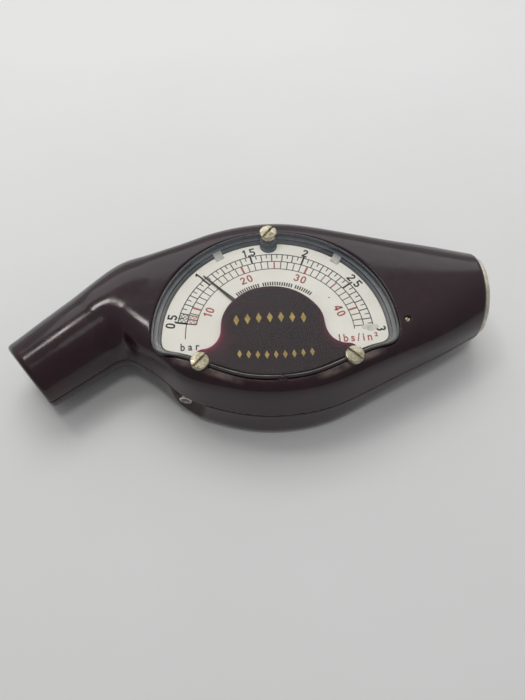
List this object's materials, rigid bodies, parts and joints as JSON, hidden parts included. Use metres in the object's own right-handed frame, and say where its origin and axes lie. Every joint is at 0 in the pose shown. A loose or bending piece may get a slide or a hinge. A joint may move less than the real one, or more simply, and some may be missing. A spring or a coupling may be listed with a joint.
{
  "type": "tire pressure gauge",
  "caption": "Pocket dial tire pressure gauge in a dark moulded two-part case with an angled valve nozzle, D-shaped window, pointer movement and release button.",
  "frame": {"origin": "on the resting plane, under the pointer axis", "axes": "+Z out of the dial, +X to the tail, +Y to the top window screw"},
  "size_m": [0.1217, 0.0538, 0.0235],
  "materials": {
    "bakelite": "polished moulded phenolic, dark oxblood brown",
    "clear_plastic": "clear moulded, bevelled edge",
    "mask_print": "burgundy print behind the window",
    "rubber": "black, matt",
    "aged_nickel": "worn nickel plate over brass",
    "brass": "turned",
    "bronze": "drawn phosphor bronze",
    "copper": "drawn copper",
    "spring_steel": "bright",
    "grey_enamel": "slate grey lacquer",
    "white_enamel": "white enamel, printed scale",
    "black_enamel": "satin",
    "cream_metal": "satin, yellowed"
  },
  "bodies": {
    "case": {"lower_case": "bakelite", "upper_case": "bakelite", "window": "clear_plastic", "window_mask": "mask_print", "window_gasket": "rubber", "window_screws": "aged_nickel", "threaded_inserts": "brass", "case_set_screw": "brass", "dial_tray": "grey_enamel", "dial_plate": "white_enamel", "hairspring": "spring_steel", "spring_stud": "brass", "pressure_tube": "bronze", "tube_tip": "bronze", "socket_block": "brass", "nozzle_sleeve": "brass", "valve_seal": "rubber", "valve_body": "brass", "depressor_pin": "aged_nickel", "check_spring": "spring_steel", "button_ring": "aged_nickel", "release_valve": "brass", "release_spring": "spring_steel", "release_pipe": "copper", "movement_base": "brass", "movement_bridge": "brass", "movement_pillars": "brass", "bridge_screws": "spring_steel", "base_screws": "spring_steel", "tail_cap": "cream_metal"},
    "pointer": {"pointer": "black_enamel", "pinion_arbor": "brass", "spring_collet": "brass"},
    "sector": {"sector_gear": "brass", "sector_arbor": "spring_steel", "link_pin": "spring_steel"},
    "link": {"drive_link": "brass"},
    "release_button": {"release_button": "aged_nickel", "release_pin": "brass"},
    "check_valve": {"check_valve": "brass"}
  },
  "joints": [
    {"name": "sector_turn", "type": "hinge", "parent": "case", "child": "sector", "pos_m": [0.0118, 0.00826, 0.0092], "axis": [0, 0, 1], "range_deg": [-6.69, 19.03]},
    {"name": "pointer_turn", "type": "hinge", "parent": "case", "child": "pointer", "pos_m": [0, 0, 0.0092], "axis": [0, 0, 1], "range_deg": [-133.2, 46.8]},
    {"name": "link_swing", "type": "hinge", "parent": "sector", "child": "link", "pos_m": [0.01498, 0.00791, 0.0102], "axis": [0, 0, 1], "range_deg": [-19.03, 6.69]},
    {"name": "button_press", "type": "slide", "parent": "case", "child": "release_button", "axis": [0.2079, 0.9781, 0], "range_m": [0, 0.0008], "stiffness_N_per_m": 200},
    {"name": "check_valve_lift", "type": "slide", "parent": "case", "child": "check_valve", "axis": [0.7826, 0.6225, 0], "range_m": [0, 0.001], "stiffness_N_per_m": 50}
  ],
  "couplings": [
    {"joint": "pointer_turn", "follows": "sector_turn", "ratio": -7},
    {"joint": "link_swing", "follows": "sector_turn", "ratio": -1}
  ]
}
